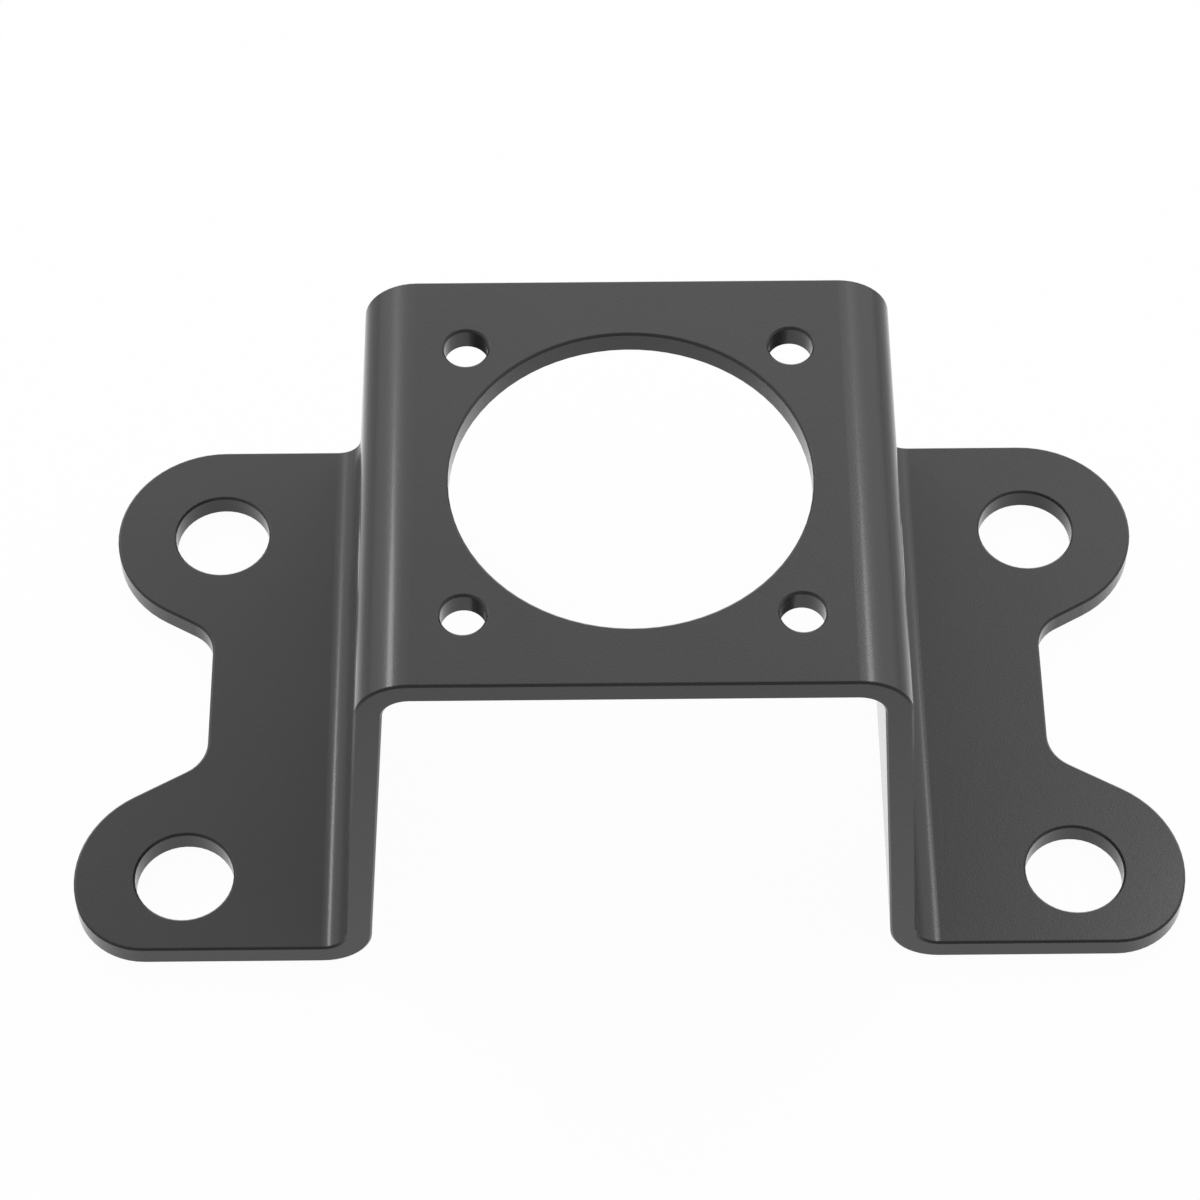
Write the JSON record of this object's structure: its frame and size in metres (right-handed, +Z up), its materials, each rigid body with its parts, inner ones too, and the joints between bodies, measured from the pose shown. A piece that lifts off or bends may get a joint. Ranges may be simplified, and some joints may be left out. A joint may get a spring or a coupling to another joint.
{
  "type": "mounting bracket",
  "caption": "Hat-shaped steel bracket: a raised platform with a large round opening and bolt holes, on two leaning legs with turned-out flanges that end in rounded bolt ears.",
  "frame": {"origin": "middle of the footprint's bounding box, on the plane that the flanges are bolted down to", "axes": "+Z up from the flanges to the platform, +X across the bracket from leg to leg, -Y towards the flush front edge, +Y towards the back, where the flanges reach further than the platform"},
  "size_m": [0.2164, 0.1198, 0.095],
  "materials": {
    "coated_steel": "satin black powder coat over steel"
  },
  "bodies": {
    "root": {"bracket": "coated_steel"}
  },
  "joints": []
}
